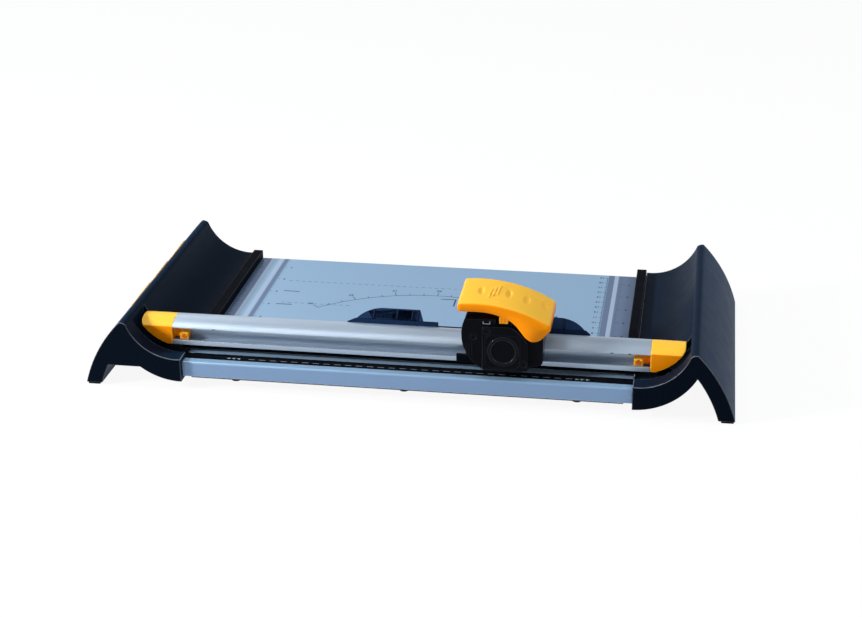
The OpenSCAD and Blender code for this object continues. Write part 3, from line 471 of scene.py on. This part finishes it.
DASH_END, DASH, DASH_PITCH = 112.0, 4.5, 7.7
DASH_Y = (CUT_Y - 1.65, CUT_Y - 1.25)
ARROWS, ARROW_X, ARROW_PITCH = 3, 118.0, 3.6
ARROW_LONG, ARROW_HALF = 2.6, 1.1


def strip_dashes():
    """White cutting line on the strip, with three arrowheads at each end."""
    mid = sum(DASH_Y) / 2
    bm = bmesh.new()
    x = -DASH_END
    while x < DASH_END:
        rect(bm, x, x + DASH, *DASH_Y, *DASH_Z)
        x += DASH_PITCH
    for side in (-1, 1):
        for k in range(ARROWS):
            foot = side * (ARROW_X + ARROW_PITCH * k)
            head = [(foot, mid - ARROW_HALF), (foot + side * ARROW_LONG, mid), (foot, mid + ARROW_HALF)]
            prism(bm, head[::side], *DASH_Z)
    finish_piece("strip_dashes", bm, WHITE, "base")


# Springs

TURN_STEPS, WIRE_SIDES = 28, 10
# Radius of the coil, thickness of the wire, turns
RAIL_COIL = (3.6, 0.9, 8)
HANDLE_COIL = (2.9, 0.7, 6)


def coil(name, cx, cy, z0, z1, r, wire, turns, body, node):
    """A wound wire that stands for the node's plainer coil."""
    bm = bmesh.new()
    n = TURN_STEPS * turns
    rings = []
    for i in range(n + 1):
        a = 2 * math.pi * i / TURN_STEPS
        z = z0 + wire / 2 + (z1 - z0 - wire) * i / n
        ring = []
        for j in range(WIRE_SIDES):
            b = 2 * math.pi * j / WIRE_SIDES
            d = r + wire / 2 * math.cos(b)
            place = cx + d * math.cos(a), cy + d * math.sin(a), z + wire / 2 * math.sin(b)
            ring.append(bm.verts.new(place))
        rings.append(ring)
    for p, q in zip(rings, rings[1:]):
        for j in range(WIRE_SIDES):
            k = (j + 1) % WIRE_SIDES
            bm.faces.new((p[j], p[k], q[k], q[j]))
    bm.faces.new(rings[0][::-1])
    bm.faces.new(rings[-1])
    obj = finish_piece(name, bm, DARK, body, TRIM_SMOOTH)
    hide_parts(node)
    return obj


def spring_box(node):
    """Axis, seat and top of a spring, in millimetres."""
    low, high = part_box(node)
    x, y = [(low[k] + high[k]) / 2 / MM for k in range(2)]
    return x, y, low[2] / MM, high[2] / MM


def springs():
    for name in ("left", "right"):
        x, y, seat, top = spring_box(f"{name}_rail_spring")
        wire = coil(f"{name}_spring_wire", x, y, seat, top, *RAIL_COIL, "base", f"{name}_rail_spring")
        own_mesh(wire)
    x, y, seat, top = spring_box("handle_spring")
    wire = coil("handle_spring_wire", x, y, seat, top, *HANDLE_COIL, "head", "handle_spring")
    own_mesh(wire)


# Handle

HANDLE_X = (37.5, 101.0)
HANDLE_Y = (-103.05, -62.05)
CREST_X, AXIS_Z, TOP_R = 50.0, -21.6, 98.0
TILT = math.radians(3.5)
EDGE_R = 2.0
EDGE_ROOM = 2.5
EDGE_STEPS, EDGE_TURN = 5, math.radians(50)
WALL = 2.0
TOP_CELLS = (84, 48)
CROWN = 0.3
# Lower edge of the side skirts, x and z
SKIRT = [(37.5, 69.7), (55.0, 69.8), (62.3, 68.7), (69.5, 66.4), (74.2, 63.9), (78.1, 60.4), (81.4, 56.0),
         (84.4, 52.4), (87.6, 50.4), (91.0, 50.3), (94.4, 51.8), (97.2, 54.6), (99.4, 57.2), (101.0, 58.6)]
DIMPLES = [(51.6, -83.0), (70.4, -81.6), (82.6, -82.4), (94.4, -79.6)]
# Half widths along x and y, and depth
DIMPLE = (2.6, 7.6, 1.6)
PIP_ROWS, PIPS, PIP_R, PIP_SUNK = 3, 7, 0.85, 0.1
PIP_SIDES = (12, 8)
# Place of the first pip, and the steps to the next row and along a row
PIP_AT, PIP_ROW_STEP, PIP_STEP = (57.6, -92.5), (2.6, 3.2), (0.15, 2.1)
RIB = (67.5, 70.5, -100.15, -94.2, 68.3, 73.4)


def skirt_z(x):
    """Smooth curve through the skirt's points."""
    pts = SKIRT
    if x <= pts[0][0]:
        return pts[0][1]
    if x >= pts[-1][0]:
        return pts[-1][1]
    i = max(k for k in range(len(pts) - 1) if pts[k][0] <= x)
    p = [pts[max(0, i - 1)], pts[i], pts[i + 1], pts[min(len(pts) - 1, i + 2)]]
    h = p[2][0] - p[1][0]
    t = (x - p[1][0]) / h
    m1 = (p[2][1] - p[0][1]) / (p[2][0] - p[0][0]) * h
    m2 = (p[3][1] - p[1][1]) / (p[3][0] - p[1][0]) * h
    return ((2 * t ** 3 - 3 * t ** 2 + 1) * p[1][1] + (t ** 3 - 2 * t ** 2 + t) * m1
            + (-2 * t ** 3 + 3 * t ** 2) * p[2][1] + (t ** 3 - t ** 2) * m2)


def top_z(x, y):
    """The handle's long top curve, which climbs towards the back and is slightly crowned across."""
    mid, half = sum(HANDLE_Y) / 2, (HANDLE_Y[1] - HANDLE_Y[0]) / 2
    climb = (y - HANDLE_Y[0]) * math.tan(TILT) - CROWN * ((y - mid) / half) ** 2
    return AXIS_Z + math.sqrt(TOP_R ** 2 - (x - CREST_X) ** 2) / math.cos(TILT) + climb


def dimple(x, y):
    """Depth of the grip dimples."""
    across, along, deep = DIMPLE
    d = min(math.hypot((x - dx) / across, (y - dy) / along) for dx, dy in DIMPLES)
    return deep * math.cos(math.pi / 2 * d) ** 2 if d < 1 else 0.0


def steps(ends, count):
    """Coordinates across the handle, with a wider first and last step for the rounded edge."""
    a, b = ends[0] + EDGE_ROOM, ends[1] - EDGE_ROOM
    return [ends[0]] + [a + (b - a) * k / count for k in range(count + 1)] + [ends[1]]


def handle_shell():
    bm = bmesh.new()
    xs, ys = steps(HANDLE_X, TOP_CELLS[0]), steps(HANDLE_Y, TOP_CELLS[1])
    top = [[bm.verts.new((x, y, top_z(x, y) - dimple(x, y))) for y in ys] for x in xs]
    for i in range(len(xs) - 1):
        for j in range(len(ys) - 1):
            bm.faces.new((top[i][j], top[i + 1][j], top[i + 1][j + 1], top[i][j + 1]))
    last_x, last_y = len(xs) - 1, len(ys) - 1
    rim = [(i, 0) for i in range(last_x + 1)] + [(last_x, j) for j in range(1, last_y + 1)]
    rim += [(i, last_y) for i in range(last_x - 1, -1, -1)] + [(0, j) for j in range(last_y - 1, 0, -1)]
    foot = [bm.verts.new((xs[i], ys[j], skirt_z(xs[i]))) for i, j in rim]
    for k, (i, j) in enumerate(rim):
        n = (k + 1) % len(rim)
        ni, nj = rim[n]
        bm.faces.new((foot[k], foot[n], top[ni][nj], top[i][j]))
    obj = finish_piece("handle_shell", bm, YELLOW, "handle", HANDLE_SMOOTH)
    obj.data.materials.append(YELLOW_EDGE_HIGHLIGHT)
    outer = obj.modifiers.new("round", "BEVEL")
    outer.width = EDGE_R * MM
    outer.segments = EDGE_STEPS
    outer.limit_method = "ANGLE"
    outer.angle_limit = EDGE_TURN
    wall = obj.modifiers.new("wall", "SOLIDIFY")
    wall.thickness = WALL * MM
    wall.offset = -1
    # The shell's cut rim takes the paler painted edge highlight
    wall.material_offset_rim = EDGE_HIGHLIGHT_SLOT
    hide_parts("handle")


def handle_details():
    # Raised grip pips between the first two dimples, in slanting rows, in the paler painted-highlight
    # yellow
    bm = bmesh.new()
    for i in range(PIP_ROWS):
        for j in range(PIPS):
            x, y = [PIP_AT[k] + PIP_ROW_STEP[k] * i + PIP_STEP[k] * j for k in range(2)]
            place = Matrix.Translation((x, y, top_z(x, y) - PIP_SUNK))
            bmesh.ops.create_uvsphere(bm, u_segments=PIP_SIDES[0], v_segments=PIP_SIDES[1],
                                      radius=PIP_R, matrix=place)
    pips = finish_piece("handle_pips", bm, YELLOW_EDGE_HIGHLIGHT, "handle", HANDLE_SMOOTH)
    # Rib that presses the blade unit down
    bm = bmesh.new()
    rect(bm, *RIB)
    finish_piece("handle_rib", bm, YELLOW, "handle")


# Small details

def upright(bm, outline, y0, y1):
    """A closed prism on an outline of x, z points, from front to back."""
    front = [bm.verts.new((x, y0, z)) for x, z in outline]
    rear = [bm.verts.new((x, y1, z)) for x, z in outline]
    bm.faces.new(front)
    bm.faces.new(rear[::-1])
    n = len(outline)
    for i in range(n):
        j = (i + 1) % n
        bm.faces.new((front[i], rear[i], rear[j], front[j]))


NOTCH_X = (-138.0, 142.0, 154.0)
NOTCH_HALF, NOTCH_TOP, NOTCH_TIP = 1.5, 38.8, 38.0
NOTCH_FRONT, NOTCH_BACK = -87.52, -86.8


def rail_notches():
    """Black triangles in the nose above the rail's channel: painted shade standing in for notches."""
    bm = bmesh.new()
    for x in NOTCH_X:
        upright(bm, [(x - NOTCH_HALF, NOTCH_TOP), (x, NOTCH_TIP), (x + NOTCH_HALF, NOTCH_TOP)],
                NOTCH_FRONT, NOTCH_BACK)
    finish_piece("rail_notches", bm, STRIP, "rail")


HEAD_X, AXLE_Z = 69.0, 41.5
COVER_Y, BODY_Y = -102.95, -100.55
# Half width and corner radius of the frame around the ring, outside and inside
FRAME_OUT, FRAME_IN = (12.4, 4.6), (11.4, 3.6)
CORNER_STEPS = 8
# How far the trim stands out, and how far it goes into the cover or body
PROUD, ROOTED = 0.4, 0.1
GRIP_X, GRIP_HALF, GRIP_Z = (43.6, 45.6, 47.6), 0.4, (36.5, 46.0)
TRIM_ROUND, TRIM_STEPS = 0.15, 2
# The three strokes of the bracket mark: x0, x1, z0, z1
MARK = ((54.8, 55.2, 60.3, 62.4), (59.4, 59.8, 60.3, 62.4), (55.2, 59.4, 60.3, 60.7))
MARK_PROUD, MARK_ROOTED = 0.04, 0.02


def rounded_square(half, r):
    """Outline around the axle, one quarter turn at each corner."""
    pts = []
    for side_x, side_z, start in ((1, 1, 0), (-1, 1, 90), (-1, -1, 180), (1, -1, 270)):
        for i in range(CORNER_STEPS + 1):
            a = math.radians(start + 90 / CORNER_STEPS * i)
            pts.append((HEAD_X + side_x * (half - r) + r * math.cos(a),
                        AXLE_Z + side_z * (half - r) + r * math.sin(a)))
    return pts


def upright_rect(bm, x0, x1, z0, z1, y0, y1):
    upright(bm, [(x0, z0), (x1, z0), (x1, z1), (x0, z1)], y0, y1)


def head_trim():
    """Raised frame around the ring, grip ribs beside it, and a small bracket mark."""
    bm = bmesh.new()
    outer, inner = rounded_square(*FRAME_OUT), rounded_square(*FRAME_IN)
    front, root = COVER_Y - PROUD, COVER_Y + ROOTED
    rings = [[bm.verts.new((x, y, z)) for x, z in pts]
             for pts, y in ((outer, root), (outer, front), (inner, front), (inner, root))]
    n = len(outer)
    for p, q in zip(rings, rings[1:] + rings[:1]):
        for i in range(n):
            j = (i + 1) % n
            bm.faces.new((p[i], p[j], q[j], q[i]))
    for x in GRIP_X:
        upright_rect(bm, x - GRIP_HALF, x + GRIP_HALF, *GRIP_Z, BODY_Y - PROUD, BODY_Y + ROOTED)
    trim = finish_piece("head_frame", bm, HEAD, "head", TRIM_SMOOTH)
    trim.data.materials.append(HEAD_EDGE_HIGHLIGHT)
    edge = trim.modifiers.new("bevel", "BEVEL")
    edge.width = TRIM_ROUND * MM
    edge.segments = TRIM_STEPS
    edge.limit_method = "ANGLE"
    edge.angle_limit = SHARP
    # Bevel faces of the frame take the painted edge highlight
    edge.material = EDGE_HIGHLIGHT_SLOT
    bm = bmesh.new()
    for bar in MARK:
        upright_rect(bm, *bar, BODY_Y - MARK_PROUD, BODY_Y + MARK_ROOTED)
    finish_piece("head_mark", bm, WHITE, "head")


# Stage, light and camera, in metres and watts

FLOOR_HALF = 6.0
FLOOR_GREY, FLOOR_ROUGH = (0.66, 0.66, 0.67, 1), 0.9
# Brightness of the seen floor, and the share of it that takes no shadow
FLOOR_GLOW, FLOOR_SHARE = 1.04, 0.88
PURE_WHITE = (1, 1, 1, 1)
FILL_TINT, FILL_POWER = (0.84, 0.92, 1.0, 1), 0.32
# Reflected backdrop: heights where it starts and ends to dim, and its brightness there
DIM_FROM, DIM_TO, DIM_LOW, DIM_HIGH = 0.05, 0.4, 0.9, 0.3
# Name, place, aim, size, power
LIGHTS = [
    ("top", (-0.95, 0.0, 2.0), (0, 0, 0), (0.9, 0.6), 12),
    ("side", (1.3, -0.1, 1.2), (0.1, 0, 0.03), (0.8, 0.8), 11),
    ("key", (-1.18, -0.62, 0.60), (0, -0.05, 0.03), (0.20, 0.20), 22),
    ("back", (-1.1, 1.4, 1.3), (0, 0, 0.03), (1.2, 1.0), 5),
]


def seen_rays(tree):
    """One where the camera, a reflection or a clear piece looks at the backdrop."""
    path = add_node(tree, "ShaderNodeLightPath")
    first = add_node(tree, "ShaderNodeMath", operation="MAXIMUM")
    both = add_node(tree, "ShaderNodeMath", operation="MAXIMUM")
    tree.links.new(path.outputs["Is Camera Ray"], first.inputs[0])
    tree.links.new(path.outputs["Is Glossy Ray"], first.inputs[1])
    tree.links.new(first.outputs[0], both.inputs[0])
    tree.links.new(path.outputs["Is Transmission Ray"], both.inputs[1])
    return both.outputs[0]


def backdrop_material():
    m, tree, bsdf = shader("stage_white")
    bsdf.inputs["Base Color"].default_value = FLOOR_GREY
    bsdf.inputs["Roughness"].default_value = FLOOR_ROUGH
    bsdf.inputs["Specular IOR Level"].default_value = 0.0
    glow = add_node(tree, "ShaderNodeEmission", {"Color": PURE_WHITE, "Strength": FLOOR_GLOW})
    share = add_node(tree, "ShaderNodeMath", {1: FLOOR_SHARE}, operation="MULTIPLY")
    mix = add_node(tree, "ShaderNodeMixShader")
    tree.links.new(seen_rays(tree), share.inputs[0])
    tree.links.new(share.outputs[0], mix.inputs[0])
    tree.links.new(bsdf.outputs[0], mix.inputs[1])
    tree.links.new(glow.outputs[0], mix.inputs[2])
    tree.links.new(mix.outputs[0], tree.nodes["Material Output"].inputs["Surface"])
    return m


def stage():
    bm = bmesh.new()
    bmesh.ops.create_grid(bm, x_segments=1, y_segments=1, size=FLOOR_HALF)
    mesh = bpy.data.meshes.new("floor")
    bm.to_mesh(mesh)
    bm.free()
    mesh.materials.append(backdrop_material())
    floor = bpy.data.objects.new("floor", mesh)
    scene.collection.objects.link(floor)


def area_light(name, place, aim, size, power):
    lamp = bpy.data.lights.new(name, "AREA")
    lamp.shape = "RECTANGLE"
    lamp.size, lamp.size_y = size
    lamp.energy = power
    obj = bpy.data.objects.new(name, lamp)
    obj.location = place
    obj.rotation_euler = (Vector(aim) - Vector(place)).to_track_quat("-Z", "Y").to_euler()
    scene.collection.objects.link(obj)


def world_light():
    """Even light on the part, and white behind it; reflections see a backdrop that dims upwards."""
    world = bpy.data.worlds.new("studio")
    scene.world = world
    world.use_nodes = True
    tree = world.node_tree
    fill = tree.nodes["Background"]
    fill.inputs["Color"].default_value = FILL_TINT
    fill.inputs["Strength"].default_value = FILL_POWER
    coords = add_node(tree, "ShaderNodeTexCoord")
    height = add_node(tree, "ShaderNodeSeparateXYZ")
    dim = add_node(tree, "ShaderNodeMapRange", {"From Min": DIM_FROM, "From Max": DIM_TO,
                                                "To Min": DIM_LOW, "To Max": DIM_HIGH})
    mirrored = add_node(tree, "ShaderNodeBackground", {"Color": PURE_WHITE})
    white = add_node(tree, "ShaderNodeBackground", {"Color": PURE_WHITE, "Strength": 1.0})
    path = add_node(tree, "ShaderNodeLightPath")
    mix = add_node(tree, "ShaderNodeMixShader")
    behind = add_node(tree, "ShaderNodeMixShader")
    tree.links.new(coords.outputs["Generated"], height.inputs[0])
    tree.links.new(height.outputs["Z"], dim.inputs["Value"])
    tree.links.new(dim.outputs["Result"], mirrored.inputs["Strength"])
    tree.links.new(seen_rays(tree), mix.inputs[0])
    tree.links.new(fill.outputs[0], mix.inputs[1])
    tree.links.new(mirrored.outputs[0], mix.inputs[2])
    tree.links.new(path.outputs["Is Camera Ray"], behind.inputs[0])
    tree.links.new(mix.outputs[0], behind.inputs[1])
    tree.links.new(white.outputs[0], behind.inputs[2])
    tree.links.new(behind.outputs[0], tree.nodes["World Output"].inputs["Surface"])


CAMERA_AT = (0.1953, -1.1976, 0.5300)
YAW, PITCH, ROLL = math.radians(-9.11), math.radians(22.51), math.radians(-0.35)
FOCAL_PX, FRAME_PX, SENSOR = 1774.6, 862, 36.0


def camera():
    level = math.cos(PITCH)
    fwd = Vector((math.sin(YAW) * level, math.cos(YAW) * level, -math.sin(PITCH)))
    right = Vector((math.cos(YAW), -math.sin(YAW), 0))
    up = right.cross(fwd)
    axes = (math.cos(ROLL) * right + math.sin(ROLL) * up,
            math.cos(ROLL) * up - math.sin(ROLL) * right, -fwd)
    cam = bpy.data.cameras.new("camera")
    cam.sensor_width = SENSOR
    cam.sensor_fit = "HORIZONTAL"
    cam.lens = FOCAL_PX / FRAME_PX * SENSOR
    obj = bpy.data.objects.new("camera", cam)
    m = Matrix.Identity(4)
    for i, axis in enumerate(axes):
        for k in range(3):
            m[k][i] = axis[k]
    m.translation = CAMERA_AT
    obj.matrix_world = m
    scene.collection.objects.link(obj)
    scene.camera = obj


dress_nodes()
bed_zones()
bed_print()
strip_dashes()
springs()
handle_shell()
handle_details()
rail_notches()
head_trim()
stage()
world_light()
for light in LIGHTS:
    area_light(*light)
camera()
scene.view_settings.view_transform = "Standard"
